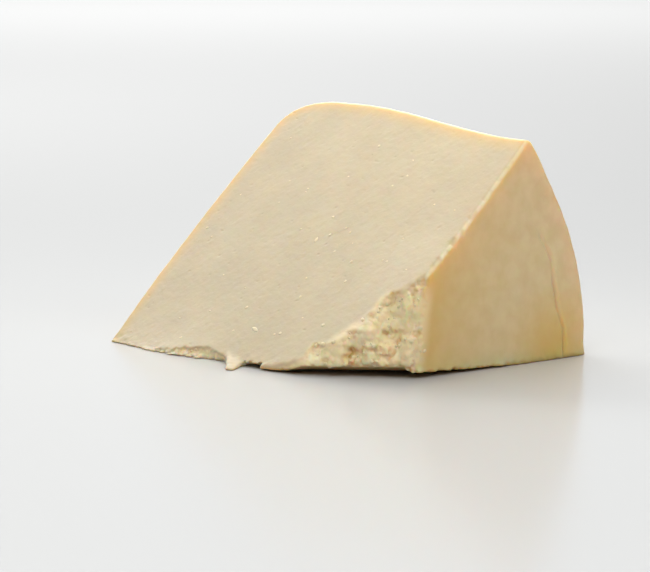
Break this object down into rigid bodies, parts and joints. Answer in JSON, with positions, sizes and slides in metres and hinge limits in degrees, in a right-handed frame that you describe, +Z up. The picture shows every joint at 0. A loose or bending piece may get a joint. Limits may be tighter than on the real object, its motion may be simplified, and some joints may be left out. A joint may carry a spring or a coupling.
{
  "type": "aged sheep cheese chunk",
  "caption": "Wedge of a small aged wheel cheese, lying on a cut face, with pale paste, a thin yellow rind round the back and a crumbled front corner.",
  "frame": {"origin": "centre of the bounding box on the ground, under the wedge", "axes": "+Z up; +X along the axis of the wheel that the wedge was cut from, towards the face with the crumbled corner; +Y from the thin edge to the rind"},
  "size_m": [0.112, 0.1032, 0.0701],
  "materials": {
    "cheese": "cream-beige pressed curd, finely granular where cut and crumbly where broken, waxier and yellower towards the thin dry rind"
  },
  "bodies": {
    "root": {"cheese_chunk": "cheese"}
  },
  "joints": []
}
